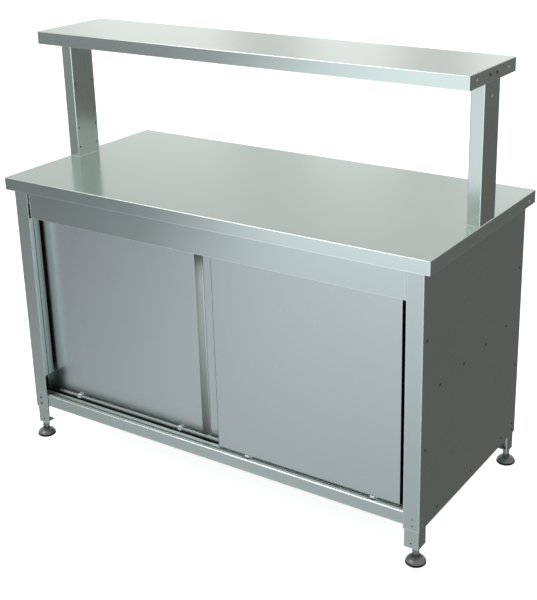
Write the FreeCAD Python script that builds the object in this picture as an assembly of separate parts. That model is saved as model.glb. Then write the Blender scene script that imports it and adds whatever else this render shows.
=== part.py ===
import FreeCAD, Part
import math
import os

# Stainless steel cabinet table: a box-edged worktop on four angle legs, a cabinet below it with two
# sliding doors and a middle shelf, and an overshelf on two posts that stand on the worktop.
# Millimetres, +X to the right, -Y to the front, +Z up, origin on the floor under the centre.

V = FreeCAD.Vector

# Worktop
table_length = 1500.0
table_depth = 700.0
table_height = 920.0
edge_height = 40.0
top_sheet = 1.5
edge_lip = 14.0
edge_bend = 2.5
core_thickness = 16.0
core_margin = 3.5

# Overshelf and its posts
overshelf_depth = 300.0
overshelf_clearance = 392.0
post_width = 40.0
post_depth = 100.0
post_sheet = 1.5
post_bend = 2.5
post_hole_radius = 3.0
post_hole_edge = 10.0
post_hole_heights = (32.0, 97.0, 245.0)
post_base_thickness = 8.0
post_base_gap = 0.3
post_bolt_radius = 4.0
post_bolt_head_radius = 7.0
post_bolt_head = 5.5
post_bolt_spread = 30.0
post_bolt_from_edge = 13.0
stiffener_offset = 102.0
stiffener_width = 40.0
stiffener_height = 25.0
stiffener_sheet = 1.2
overshelf_screw_offset = 22.0
post_rivet_drop = 40.0

# Legs, feet and panels
side_overhang = 23.0
front_overhang = 16.0
panel_sheet = 1.0
panel_floor_gap = 108.5
panel_in_edge = 10.0
leg_flange = 50.0
leg_sheet = 2.0
leg_bend = 1.8
lower_leg_flange = 45.0
lower_leg_bottom = 50.0
lower_leg_top = 200.0
lower_leg_hole_height = 65.0
lower_leg_hole_radius = 3.0
foot_inset = 12.0
socket_radius = 10.0
socket_length = 74.0
socket_plate = 3.0
socket_plate_width = 32.0
socket_plate_low = 14.0
socket_plate_high = 67.0
stem_radius = 6.0
stem_fit = 0.05
stem_engagement = 66.0
stem_journal_radius = 5.0
stem_hex_flats = 19.0
stem_hex_height = 8.0
pad_radius = 30.0
pad_rim = 4.0
pad_shoulder_radius = 14.0
pad_shoulder_height = 20.0
pad_neck_radius = 11.0
pad_height = 29.0
pad_floor = 9.0
pad_bend = 1.5
running_gap = 0.5

# Frame rails
rail_height = 40.0
rail_flange = 30.0
rail_sheet = 1.5
fascia_visible_height = 90.0
fascia_setback = 6.0
fascia_end_gap = 4.0
fascia_sheet = 1.2
fascia_return = 9.0
cleat_sheet = 1.5
cleat_height = 50.0
cleat_drop = 17.0
cleat_lap = 32.0

# Shelves
shelf_edge = 40.0
shelf_sheet = 1.5
shelf_lip = 15.0
shelf_top_height = 158.5
middle_shelf_edge = 25.0
middle_shelf_sheet = 1.2
middle_shelf_lip = 12.0
middle_shelf_back_gap = 2.0
middle_shelf_door_gap = 22.0
support_flange = 30.0
support_sheet = 2.0
support_top_height = 530.0
support_end_gap = 4.0
packer_height = 30.0
packer_end_gap = 2.0

# Doors and their tracks
door_sheet = 1.0
door_thickness = 20.0
door_lip = 12.0
door_bend = 1.2
door_floor_gap = 5.3
door_behind_fascia = 28.0
front_door_setback = 17.0
track_pitch = 35.0
front_door_inner_end = 31.0
door_lap = 20.0
door_end_gap = 4.0
pull_width = 33.0
pull_depth = 18.0
front_pull_from_leg = 19.0
rear_pull_from_lap = 87.0
roller_from_end = 108.0
roller_from_pull = 86.0
roller_radius = 10.0
roller_width = 6.0
roller_rim = 1.0
roller_from_face = 6.0
roller_side_gap = 0.4
axle_radius = 2.5
axle_fit = 0.05
axle_head_radius = 3.5
axle_head = 0.8
bracket_sheet = 1.2
bracket_height = 24.0
bracket_half_length = 16.5
bracket_foot = 10.0
cheek_width = 5.0
cheek_below_axle = 8.5
slot_gap = 0.4
track_sheet = 1.2
track_rib = 1.5
track_rib_height = 3.5
track_rib_gap = 2.0
track_before_wheel = 16.0
track_behind_wheel = 15.0
track_end_gap = 2.0
rear_track_before_wheel = 8.0
track_slot_length = 24.0
track_slot_width = 5.0
track_slot_offset = 14.0
upper_track_sheet = 1.2
upper_track_wall = 30.0
door_lift_gap = 12.0
upper_track_flange = 30.0
upper_track_flange_margin = 92.0
door_side_gap = 2.0
guide_length = 40.0
guide_height = 8.0
guide_gap = 0.4
guide_inset = 60.0
jamb_sheet = 1.2
jamb_bottom = 232.0
jamb_top_gap = 2.0
jamb_flange = 24.0
jamb_lip = 14.0
jamb_groove_width = 4.0
jamb_groove_depth = 6.0
jamb_strip = 22.0
end_jamb_floor_gap = 4.8
end_jamb_wrap = 4.0

# Fasteners
rivet_radius = 2.0
rivet_head_radius = 4.0
rivet_head = 1.0
rivet_tail = 3.0
fastener_fit = 0.05
leg_rivet_inset = 21.0
leg_rivet_heights = (124.0, 145.0)
panel_rivet_heights = (356.0, 680.0)
shelf_rivet_drop = 12.0
support_rivet_count = 4
support_rivet_front = 29.0
support_rivet_back = 54.0
packer_rivet_height = 135.0
packer_rivet_count = 3
packer_rivet_inset = 56.5
rear_rivet_count = 4
rear_rivet_inset = 224.0
cut_margin = 1.0
screw_radius = 2.5
screw_head_radius = 4.5
screw_head = 1.2
screw_length = 8.0
bonding_from_back = 45.0
bonding_rise = 15.0
bonding_nut_radius = 5.5
bonding_nut = 4.0

# Planes that the pieces share
half_length = table_length / 2
half_depth = table_depth / 2
panel_outer = half_length - side_overhang
panel_inner = panel_outer - panel_sheet
leg_inner = panel_inner - leg_sheet
lower_leg_inner = leg_inner - leg_sheet
leg_edge = panel_inner - leg_flange
front_face = -(half_depth - front_overhang)
front_leg_inner = front_face + leg_sheet
front_shelf_face = front_leg_inner + leg_sheet
back_face = half_depth - front_overhang
back_panel_inner = back_face - panel_sheet
back_leg_inner = back_panel_inner - leg_sheet
back_shelf_face = back_leg_inner - leg_sheet
edge_inner = half_length - top_sheet
core_bottom = table_height - top_sheet - core_thickness
edge_bottom = table_height - edge_height
panel_top = edge_bottom + panel_in_edge
overshelf_bottom = table_height + overshelf_clearance
overshelf_top = overshelf_bottom + edge_height
overshelf_inner_top = overshelf_top - top_sheet
post_outer = edge_inner
post_inner = post_outer - post_width
post_bolt_x = half_length - post_bolt_from_edge
end_fastener_height = overshelf_bottom + edge_height / 2
shelf_bottom = shelf_top_height - shelf_edge
track_floor = shelf_top_height + track_sheet
rib_top = track_floor + track_rib_height
axle_height = track_floor + roller_radius
front_door_face = front_face + front_door_setback
rear_door_face = front_door_face + track_pitch
fascia_face = front_face + fascia_setback
fascia_back = fascia_face + fascia_sheet
fascia_bottom = edge_bottom - fascia_visible_height
fascia_end = leg_edge - fascia_end_gap
door_bottom = track_floor + door_floor_gap
door_top = fascia_bottom + door_behind_fascia
upper_track_top = door_top + door_lift_gap
jamb_top = fascia_bottom - jamb_top_gap
end_jamb_bottom = rib_top + end_jamb_floor_gap
shelf_rivet_height = support_top_height - shelf_rivet_drop
jamb_front = rear_door_face - end_jamb_wrap
jamb_back = rear_door_face + door_thickness + end_jamb_wrap
support_front = jamb_back + support_end_gap
support_back = back_panel_inner - leg_flange - support_end_gap
packer_front = front_face + leg_flange + packer_end_gap
packer_back = back_panel_inner - leg_flange - packer_end_gap
packer_end = leg_edge - packer_end_gap
foot_x = lower_leg_inner - foot_inset
foot_front_y = front_shelf_face + foot_inset
foot_back_y = back_shelf_face - foot_inset
stem_hex_low = pad_height + running_gap
socket_bottom = stem_hex_low + stem_hex_height + running_gap
socket_top = socket_bottom + socket_length
stem_top = socket_bottom + stem_engagement
front_door_ends = (front_door_inner_end, leg_inner - door_end_gap)
rear_door_ends = (door_end_gap - leg_inner, front_door_inner_end + door_lap)
front_pull_start = leg_edge - front_pull_from_leg
rear_pull_start = front_door_inner_end - rear_pull_from_lap
fastener_hole = rivet_radius + fastener_fit
front_wheel_y = front_door_face + roller_from_face
rear_wheel_y = rear_door_face + roller_from_face
front_rollers = (front_door_inner_end + roller_from_end, front_pull_start - roller_from_pull)
rear_rollers = (roller_from_end - leg_edge, rear_pull_start - roller_from_pull)


def box(x0, x1, y0, y1, z0, z1):
    """Box between two opposite corners."""
    return Part.makeBox(x1 - x0, y1 - y0, z1 - z0, V(x0, y0, z0))


def rod(radius, start, end):
    """Round rod between two points."""
    axis = end - start
    return Part.makeCylinder(radius, axis.Length, start, axis)


def joined(pieces):
    """One solid from overlapping or touching pieces."""
    return pieces[0].multiFuse(pieces[1:]).removeSplitter()


def mirrored(shape):
    """The same piece on the other side of the table."""
    return shape.mirror(V(0, 0, 0), V(1, 0, 0))


def upright_edges(shape, corners, tolerance=0.01):
    """Vertical edges of a shape that stand on the given plan positions."""
    found = []
    for edge in shape.Edges:
        first = edge.Vertexes[0].Point
        last = edge.Vertexes[-1].Point
        upright = math.hypot(first.x - last.x, first.y - last.y) < tolerance < abs(first.z - last.z)
        if upright and any(math.hypot(first.x - x, first.y - y) < tolerance for x, y in corners):
            found.append(edge)
    return found


def spread(low, high, inset, count):
    """Evenly spaced places between two ends, the outer ones set in from them."""
    step = (high - low - 2 * inset) / (count - 1)
    return [low + inset + k * step for k in range(count)]


def export(name, shape):
    """Write one node."""
    shape.exportStep(os.path.join("parts", name + ".step"))


def folded_tray(x0, x1, y0, y1, z0, z1, sheet, lip, bend):
    """Tray of folded sheet, face up: four edges turned down, each with a lip turned in."""
    outer = box(x0, x1, y0, y1, z0, z1)
    rounded = [e for e in outer.Edges if e.BoundBox.ZMin > z1 - 0.01 or e.BoundBox.ZLength > 0.01]
    outer = outer.makeFillet(bend, rounded)
    inside = box(x0 + sheet, x1 - sheet, y0 + sheet, y1 - sheet, z0 + sheet, z1 - sheet)
    mouth = box(x0 + lip, x1 - lip, y0 + lip, y1 - lip, z0, z0 + sheet)
    return outer.cut(inside).cut(mouth)


# Fastener places: (point on the outer face, direction into the work, length to the far face)
def leg_rivet_places():
    """Rivets through each leg, its lower leg and the bottom shelf's edge, on both flanges."""
    places = []
    through = 2 * leg_sheet + shelf_sheet
    for side in (-1, 1):
        x = side * (panel_inner - leg_rivet_inset)
        for z in leg_rivet_heights:
            places.append((V(x, front_face, z), V(0, 1, 0), through))
            places.append((V(x, back_face, z), V(0, -1, 0), through + panel_sheet))
            for y in (front_face + leg_rivet_inset, back_panel_inner - leg_rivet_inset):
                places.append((V(side * panel_outer, y, z), V(-side, 0, 0), through + panel_sheet))
    return places


def panel_rivet_places():
    """Rivets that hold the side and back panels to the legs, supports and packers."""
    places = []
    leg_grip = panel_sheet + leg_sheet
    support_grip = panel_sheet + support_sheet
    packer_grip = panel_sheet + 2 * leg_sheet + shelf_sheet
    for side in (-1, 1):
        for z in panel_rivet_heights:
            for y in (front_face + leg_flange / 2, back_panel_inner - leg_flange / 2):
                places.append((V(side * panel_outer, y, z), V(-side, 0, 0), leg_grip))
            x = side * (panel_inner - leg_flange / 2)
            places.append((V(x, back_face, z), V(0, -1, 0), leg_grip))
        for y in spread(support_front + support_rivet_front, support_back - support_rivet_back,
                        0.0, support_rivet_count):
            places.append((V(side * panel_outer, y, shelf_rivet_height), V(-side, 0, 0), support_grip))
        for y in spread(packer_front, packer_back, packer_rivet_inset, packer_rivet_count):
            places.append((V(side * panel_outer, y, packer_rivet_height), V(-side, 0, 0), packer_grip))
    for x in spread(-packer_end, packer_end, rear_rivet_inset, rear_rivet_count):
        places.append((V(x, back_face, packer_rivet_height), V(0, -1, 0), packer_grip))
    return places


def end_rivet_places():
    """Rivets through the overshelf's ends into its stiffeners, and one in each post."""
    places = []
    for side in (-1, 1):
        for y in (-stiffener_offset, stiffener_offset):
            point = V(side * half_length, y, end_fastener_height)
            places.append((point, V(-side, 0, 0), top_sheet + stiffener_sheet))
        point = V(side * post_outer, 0, overshelf_bottom - post_rivet_drop)
        places.append((point, V(-side, 0, 0), post_sheet))
    return places


def end_screw_places():
    """Screws through the overshelf's ends into the tops of the posts."""
    places = []
    for side in (-1, 1):
        for y in (-overshelf_screw_offset, overshelf_screw_offset):
            point = V(side * half_length, y, end_fastener_height)
            places.append((point, V(-side, 0, 0), top_sheet + post_sheet))
    return places


def rivet(point, inward, grip):
    """Blind rivet: a low domed head, a shank, and the set tail behind the work."""
    head = rod(rivet_head_radius, point - inward * rivet_head, point)
    rim = [e for e in head.Edges if (e.CenterOfMass - (point - inward * rivet_head)).Length < 0.01]
    head = head.makeFillet(rivet_head * 0.7, rim)
    shank = rod(rivet_radius, point, point + inward * (grip + rivet_tail))
    return joined([head, shank])


def screw(point, inward):
    """Pan-head screw with a plain shank."""
    head = rod(screw_head_radius, point - inward * screw_head, point)
    rim = [e for e in head.Edges if (e.CenterOfMass - (point - inward * screw_head)).Length < 0.01]
    head = head.makeFillet(screw_head * 0.6, rim)
    return joined([head, rod(screw_radius, point, point + inward * screw_length)])


def drilled(shape, places, radius):
    """Shape with the holes of the fasteners that pass through it."""
    bores = []
    for point, inward, grip in places:
        bores.append(rod(radius, point - inward * cut_margin, point + inward * (grip + cut_margin)))
    return shape.cut(bores)


leg_rivets = leg_rivet_places()
panel_rivets = panel_rivet_places()
riveted = leg_rivets + panel_rivets
end_rivets = end_rivet_places()
end_screws = end_screw_places()

# Post bolts come up through the core and the top sheet into the base plates.
bolt_places = [(side * post_bolt_x, y) for side in (-1, 1) for y in (-post_bolt_spread, post_bolt_spread)]
bolt_bores = []
for x, y in bolt_places:
    low = V(x, y, core_bottom - post_bolt_head)
    bolt_bores.append(rod(post_bolt_radius + fastener_fit, low, V(x, y, table_height + post_base_thickness)))
bonding_point = V(half_length, half_depth - bonding_from_back, edge_bottom + bonding_rise)
bonding_place = (bonding_point, V(-1, 0, 0), top_sheet)

# Worktop: one sheet folded down all round, stiffened by a board under its face.
worktop = folded_tray(-half_length, half_length, -half_depth, half_depth, edge_bottom, table_height,
                      top_sheet, edge_lip, edge_bend)
worktop = drilled(worktop.cut(bolt_bores), [bonding_place], screw_radius + fastener_fit)
export("worktop", worktop)
core_x = edge_inner - core_margin
core_y = half_depth - top_sheet - core_margin
core = box(-core_x, core_x, -core_y, core_y, core_bottom, core_bottom + core_thickness)
export("worktop_core", core.cut(bolt_bores))

# Overshelf: a narrower tray of the same make, its end lips cut away round the posts.
overshelf = folded_tray(-half_length, half_length, -overshelf_depth / 2, overshelf_depth / 2,
                        overshelf_bottom, overshelf_top, top_sheet, edge_lip, edge_bend)
post_half = post_depth / 2
for side in (-1, 1):
    near, far = sorted((side * post_inner, side * post_outer))
    overshelf = overshelf.cut(box(near, far, -post_half, post_half, overshelf_bottom, overshelf_inner_top))
overshelf = drilled(overshelf, end_rivets, fastener_hole)
overshelf = drilled(overshelf, end_screws, screw_radius + fastener_fit)
export("overshelf", overshelf)


def stiffener(y_centre):
    """Channel under the overshelf's face, closed by a tab at each end that is riveted to the edge."""
    half_width = stiffener_width / 2
    low = overshelf_inner_top - stiffener_height
    channel = box(-edge_inner, edge_inner, y_centre - half_width, y_centre + half_width,
                  low, overshelf_inner_top)
    hollow = box(-edge_inner + stiffener_sheet, edge_inner - stiffener_sheet,
                 y_centre - half_width + stiffener_sheet, y_centre + half_width - stiffener_sheet,
                 low + stiffener_sheet, overshelf_inner_top)
    return drilled(channel.cut(hollow), end_rivets, fastener_hole)


export("overshelf_stiffener_front", stiffener(-stiffener_offset))
export("overshelf_stiffener_rear", stiffener(stiffener_offset))

# Posts: closed tubes with two columns of holes in the inner face, each on a base plate.
tube = box(post_inner, post_outer, -post_half, post_half, table_height, overshelf_inner_top)
tube_corners = [(x, y) for x in (post_inner, post_outer) for y in (-post_half, post_half)]
tube = tube.makeFillet(post_bend, upright_edges(tube, tube_corners))
tube = tube.cut(box(post_inner + post_sheet, post_outer - post_sheet, -post_half + post_sheet,
                    post_half - post_sheet, table_height, overshelf_inner_top))
hole_y = post_half - post_hole_edge
for y in (-hole_y, hole_y):
    for height in post_hole_heights:
        start = V(post_inner - cut_margin, y, table_height + height)
        tube = tube.cut(rod(post_hole_radius, start, start + V(post_sheet + 2 * cut_margin, 0, 0)))
tube = drilled(tube, end_rivets, fastener_hole)
tube = drilled(tube, end_screws, screw_radius + fastener_fit)
export("post_right", tube)
export("post_left", mirrored(tube))
base_margin = post_sheet + post_base_gap
base = box(post_inner + base_margin, post_outer - base_margin, -post_half + base_margin,
           post_half - base_margin, table_height, table_height + post_base_thickness)
base = base.cut(bolt_bores)
export("post_bases", Part.makeCompound([base, mirrored(base)]))


def hexagon(across_flats, centre, height):
    """Upright hexagonal prism with its foot at centre."""
    reach = across_flats / math.sqrt(3)
    turns = [math.radians(60 * k) for k in range(7)]
    points = [centre + V(reach * math.cos(a), reach * math.sin(a), 0) for a in turns]
    return Part.Face(Part.makePolygon(points)).extrude(V(0, 0, height))


bolts = []
for x, y in bolt_places:
    head = hexagon(2 * post_bolt_head_radius * math.cos(math.radians(30)),
                   V(x, y, core_bottom - post_bolt_head), post_bolt_head)
    shank = rod(post_bolt_radius, V(x, y, core_bottom), V(x, y, table_height + post_base_thickness))
    bolts.append(joined([head, shank]))
export("post_bolts", Part.makeCompound(bolts))
export("overshelf_rivets", Part.makeCompound([rivet(*place) for place in end_rivets]))
export("overshelf_screws", Part.makeCompound([screw(point, inward) for point, inward, _ in end_screws]))
nut_start = bonding_point - V(top_sheet, 0, 0)
nut = rod(bonding_nut_radius, nut_start, nut_start - V(bonding_nut, 0, 0))
nut = drilled(nut, [(bonding_point, V(-1, 0, 0), screw_length)], screw_radius + fastener_fit)
export("bonding_screw", Part.makeCompound([screw(bonding_point, V(-1, 0, 0)), nut]))


def angle(x_out, y_out, x_flange, y_flange, sheet, z0, z1, bend):
    """Upright angle: outer corner at (x_out, y_out), flanges running towards the table's middle."""
    x_in = x_out - math.copysign(x_flange, x_out)
    y_in = y_out - math.copysign(y_flange, y_out)
    x_hollow = x_out - math.copysign(sheet, x_out)
    y_hollow = y_out - math.copysign(sheet, y_out)
    block = box(min(x_out, x_in), max(x_out, x_in), min(y_out, y_in), max(y_out, y_in), z0, z1)
    block = block.makeFillet(bend, upright_edges(block, [(x_out, y_out)]))
    hollow = box(min(x_hollow, x_in), max(x_hollow, x_in), min(y_hollow, y_in), max(y_hollow, y_in), z0, z1)
    return block.cut(hollow)


corners = {"front_left": (-1, -1), "front_right": (1, -1), "rear_left": (-1, 1), "rear_right": (1, 1)}


def leg_corner(x_side, y_side, inset):
    """Plan position of a leg's outer corner, a number of leg sheets inside the panels."""
    y_out = front_face if y_side < 0 else back_panel_inner
    return x_side * (panel_inner - inset), y_out - y_side * inset


# Legs: an upper angle from the panels' lower edge to the board, and a smaller one nested inside it.
for name, (x_side, y_side) in corners.items():
    x_out, y_out = leg_corner(x_side, y_side, 0.0)
    leg = angle(x_out, y_out, leg_flange, leg_flange, leg_sheet, panel_floor_gap, core_bottom, leg_bend)
    export("leg_" + name, drilled(leg, riveted, fastener_hole))
    x_out, y_out = leg_corner(x_side, y_side, leg_sheet)
    lower = angle(x_out, y_out, lower_leg_flange, lower_leg_flange, leg_sheet,
                  lower_leg_bottom, lower_leg_top, leg_bend)
    hole_x = x_side * (panel_inner - leg_flange / 2)
    hole_start = V(hole_x, y_out + y_side * cut_margin, lower_leg_hole_height)
    hole_end = hole_start - V(0, y_side * (leg_sheet + 2 * cut_margin), 0)
    lower = lower.cut(rod(lower_leg_hole_radius, hole_start, hole_end))
    export("lower_leg_" + name, drilled(lower, riveted, fastener_hole))


def foot_socket(x_side, y_side, x, y):
    """Threaded sleeve in the corner of a lower leg, held by two plates welded to both flanges."""
    sleeve = rod(socket_radius, V(x, y, socket_bottom), V(x, y, socket_top))
    pieces = [sleeve]
    x_wall = x_side * lower_leg_inner
    y_wall = front_shelf_face if y_side < 0 else back_shelf_face
    x_free = x_wall - x_side * socket_plate_width
    y_free = y_wall - y_side * socket_plate_width
    for z in (socket_bottom + socket_plate_low, socket_bottom + socket_plate_high):
        pieces.append(box(min(x_wall, x_free), max(x_wall, x_free), min(y_wall, y_free), max(y_wall, y_free),
                          z, z + socket_plate))
    bore = rod(stem_radius, V(x, y, socket_bottom), V(x, y, socket_top))
    return joined(pieces).cut(bore)


def foot_pad(x, y):
    """Domed foot: flat base, a rim, a dome up to a neck, and a blind bore for the stem's journal."""
    profile = Part.Wire([
        Part.makeLine(V(0, 0, 0), V(pad_radius - pad_bend, 0, 0)),
        Part.makeLine(V(pad_radius - pad_bend, 0, 0), V(pad_radius, 0, pad_bend)),
        Part.makeLine(V(pad_radius, 0, pad_bend), V(pad_radius, 0, pad_rim)),
        Part.Arc(V(pad_radius, 0, pad_rim),
                 V((pad_radius + pad_shoulder_radius) / 2 + pad_rim, 0,
                   (pad_rim + pad_shoulder_height) / 2 + pad_bend),
                 V(pad_shoulder_radius, 0, pad_shoulder_height)).toShape(),
        Part.makeLine(V(pad_shoulder_radius, 0, pad_shoulder_height),
                      V(pad_neck_radius, 0, pad_shoulder_height)),
        Part.makeLine(V(pad_neck_radius, 0, pad_shoulder_height), V(pad_neck_radius, 0, pad_height)),
        Part.makeLine(V(pad_neck_radius, 0, pad_height), V(0, 0, pad_height)),
        Part.makeLine(V(0, 0, pad_height), V(0, 0, 0)),
    ])
    pad = Part.Face(profile).revolve(V(0, 0, 0), V(0, 0, 1), 360)
    pad = pad.cut(rod(stem_journal_radius, V(0, 0, pad_floor), V(0, 0, pad_height)))
    pad.translate(V(x, y, 0))
    return pad


def foot_stem(x, y):
    """Stem: a journal in the pad, a hexagon for the spanner and a long shank in the sleeve."""
    journal = rod(stem_journal_radius - stem_fit, V(x, y, pad_floor + running_gap), V(x, y, stem_hex_low))
    nut = hexagon(stem_hex_flats, V(x, y, stem_hex_low), stem_hex_height)
    shank = rod(stem_radius - stem_fit, V(x, y, stem_hex_low + stem_hex_height), V(x, y, stem_top))
    return joined([journal, nut, shank])


sockets = []
for name, (x_side, y_side) in corners.items():
    x = x_side * foot_x
    y = foot_front_y if y_side < 0 else foot_back_y
    sockets.append(foot_socket(x_side, y_side, x, y))
    export("foot_pad_" + name, foot_pad(x, y))
    export("foot_stem_" + name, foot_stem(x, y))
export("foot_sockets", Part.makeCompound(sockets))

# Panels: flat sheets outside the legs, riveted on.
side_panel = box(panel_inner, panel_outer, front_face, back_face, panel_floor_gap, panel_top)
side_panel = drilled(side_panel, riveted, fastener_hole)
export("side_panel_right", side_panel)
export("side_panel_left", mirrored(side_panel))
back_panel = box(-panel_inner, panel_inner, back_panel_inner, back_face, panel_floor_gap, panel_top)
export("back_panel", drilled(back_panel, riveted, fastener_hole))
export("leg_rivets", Part.makeCompound([rivet(*place) for place in leg_rivets]))
export("panel_rivets", Part.makeCompound([rivet(*place) for place in panel_rivets]))

# Top rails: angles between the legs that carry the board.
rail_bottom = core_bottom - rail_height
rear_rail = joined([
    box(-leg_inner, leg_inner, back_leg_inner - rail_sheet, back_leg_inner, rail_bottom, core_bottom),
    box(-leg_inner, leg_inner, back_leg_inner - rail_flange, back_leg_inner,
        core_bottom - rail_sheet, core_bottom),
])
export("rear_top_rail", rear_rail)
side_rail_back = back_leg_inner - rail_flange
side_rail = joined([
    box(leg_inner - rail_sheet, leg_inner, front_leg_inner, side_rail_back, rail_bottom, core_bottom),
    box(leg_inner - rail_flange, leg_inner, front_leg_inner, side_rail_back,
        core_bottom - rail_sheet, core_bottom),
])
export("side_top_rail_right", side_rail)
export("side_top_rail_left", mirrored(side_rail))

# Fascia: the channel above the doors, set back between the legs and held to them by cleats.
fascia = joined([
    box(-fascia_end, fascia_end, fascia_face, fascia_back, fascia_bottom, core_bottom),
    box(-fascia_end, fascia_end, fascia_face, fascia_face + fascia_return,
        fascia_bottom, fascia_bottom + fascia_sheet),
    box(-fascia_end, fascia_end, fascia_face, fascia_face + rail_flange,
        core_bottom - fascia_sheet, core_bottom),
])
export("fascia", fascia)
cleat_top = core_bottom - cleat_drop
cleat_bottom = cleat_top - cleat_height
cleat_step = leg_edge + fascia_end_gap
cleat = joined([
    box(cleat_step, leg_inner - fascia_end_gap, front_leg_inner, front_leg_inner + cleat_sheet,
        cleat_bottom, cleat_top),
    box(cleat_step, cleat_step + cleat_sheet, front_leg_inner, fascia_back + cleat_sheet,
        cleat_bottom, cleat_top),
    box(fascia_end - cleat_lap, cleat_step + cleat_sheet, fascia_back, fascia_back + cleat_sheet,
        cleat_bottom, cleat_top),
])
export("fascia_cleats", Part.makeCompound([cleat, mirrored(cleat)]))

# Slots before the rollers, through the track and the shelf, where the doors are put in.
track_slots = []
for wheel_y, rollers in ((front_wheel_y, front_rollers), (rear_wheel_y, rear_rollers)):
    slot_y = wheel_y - track_slot_offset
    for x in rollers:
        track_slots.append(box(x - track_slot_length / 2, x + track_slot_length / 2,
                               slot_y - track_slot_width / 2, slot_y + track_slot_width / 2,
                               shelf_bottom + shelf_sheet, rib_top))

# Bottom shelf: a tray inside the lower legs, with packers between its edges and the panels.
bottom_shelf = folded_tray(-lower_leg_inner, lower_leg_inner, front_shelf_face, back_shelf_face,
                           shelf_bottom, shelf_top_height, shelf_sheet, shelf_lip, edge_bend)
export("bottom_shelf", drilled(bottom_shelf.cut(track_slots), riveted, fastener_hole))
packer_low = packer_rivet_height - packer_height / 2
packer_high = packer_rivet_height + packer_height / 2
side_packer = box(lower_leg_inner, panel_inner, packer_front, packer_back, packer_low, packer_high)
rear_packer = box(-packer_end, packer_end, back_shelf_face, back_panel_inner, packer_low, packer_high)
packers = [drilled(p, riveted, fastener_hole) for p in (side_packer, mirrored(side_packer), rear_packer)]
export("shelf_packers", Part.makeCompound(packers))

# Middle shelf: a shallower tray that rests on two angles riveted to the side panels.
middle_shelf_front = rear_door_face + door_thickness + middle_shelf_door_gap
middle_shelf = folded_tray(-lower_leg_inner, lower_leg_inner,
                           middle_shelf_front, back_leg_inner - middle_shelf_back_gap,
                           support_top_height, support_top_height + middle_shelf_edge,
                           middle_shelf_sheet, middle_shelf_lip, edge_bend)
export("middle_shelf", middle_shelf)
support = joined([
    box(panel_inner - support_sheet, panel_inner, support_front, support_back,
        support_top_height - support_flange, support_top_height),
    box(panel_inner - support_flange, panel_inner, support_front, support_back,
        support_top_height - support_sheet, support_top_height),
])
support = drilled(support, riveted, fastener_hole)
export("shelf_support_right", support)
export("shelf_support_left", mirrored(support))

# Lower track: two ribbed strips on the bottom shelf, with a guide rib on each side of the rollers.
track_end = lower_leg_inner - track_end_gap


def track_strip(wheel_y, before_wheel):
    """One strip of the lower track: a base, a rib along its front and back, and two guide ribs."""
    front = wheel_y - before_wheel
    back = wheel_y + track_behind_wheel
    guide = roller_width / 2 + track_rib_gap
    rib_starts = {front, back - track_rib, wheel_y - guide - track_rib, wheel_y + guide}
    pieces = [box(-track_end, track_end, front, back, shelf_top_height, track_floor)]
    for y in sorted(rib_starts):
        pieces.append(box(-track_end, track_end, y, y + track_rib, track_floor, rib_top))
    return joined(pieces).cut(track_slots)


export("lower_track", Part.makeCompound([track_strip(front_wheel_y, track_before_wheel),
                                         track_strip(rear_wheel_y, rear_track_before_wheel)]))

# Upper track: two downward channels behind the fascia that keep the doors' tops upright.
wall_bottom = upper_track_top - upper_track_wall
channel_walls = []
for face in (front_door_face, rear_door_face):
    channel_walls.append(face - door_side_gap - upper_track_sheet)
    channel_walls.append(face + door_thickness + door_side_gap)
upper_track_back = channel_walls[-1] + upper_track_sheet
flange_end = fascia_end - upper_track_flange_margin
upper_track = joined(
    [box(-track_end, track_end, fascia_back, upper_track_back,
         upper_track_top, upper_track_top + upper_track_sheet),
     box(-flange_end, flange_end, fascia_back, fascia_back + upper_track_sheet,
         upper_track_top, upper_track_top + upper_track_flange)]
    + [box(-track_end, track_end, y, y + upper_track_sheet, wall_bottom, upper_track_top)
       for y in channel_walls])
export("upper_track", upper_track)


def jamb_box(x0, x1, y0, y1, low):
    """One fold of a jamb, on the right-hand side of the table."""
    return box(x0, x1, y0, y1, low, jamb_top)


# Left jamb: a folded strip behind the left leg that closes the end of the front track.
lip_back = front_leg_inner + jamb_lip
groove_back = lip_back + jamb_groove_width
strip_back = groove_back + jamb_strip
groove_edge = leg_edge + jamb_groove_depth
left_jamb = joined([
    jamb_box(leg_edge, leg_edge + jamb_flange, front_leg_inner, front_leg_inner + jamb_sheet, jamb_bottom),
    jamb_box(leg_edge, leg_edge + jamb_sheet, front_leg_inner, lip_back, jamb_bottom),
    jamb_box(leg_edge, groove_edge, lip_back - jamb_sheet, lip_back, jamb_bottom),
    jamb_box(groove_edge - jamb_sheet, groove_edge, lip_back - jamb_sheet, groove_back + jamb_sheet,
             jamb_bottom),
    jamb_box(leg_edge, groove_edge, groove_back, groove_back + jamb_sheet, jamb_bottom),
    jamb_box(leg_edge, leg_edge + jamb_sheet, groove_back, strip_back, jamb_bottom),
    jamb_box(leg_edge, leg_inner, strip_back - jamb_sheet, strip_back, jamb_bottom),
])
export("jamb_left", mirrored(left_jamb))

# Right jamb: a channel that closes the end of the rear track and lets the front door pass before it.
right_jamb = joined([
    jamb_box(leg_edge, leg_inner, jamb_front, jamb_front + jamb_sheet, end_jamb_bottom),
    jamb_box(leg_edge, leg_edge + jamb_sheet, jamb_front, jamb_back, end_jamb_bottom),
    jamb_box(leg_edge, panel_inner, jamb_back - jamb_sheet, jamb_back, end_jamb_bottom),
])
export("jamb_right", right_jamb)


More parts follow.
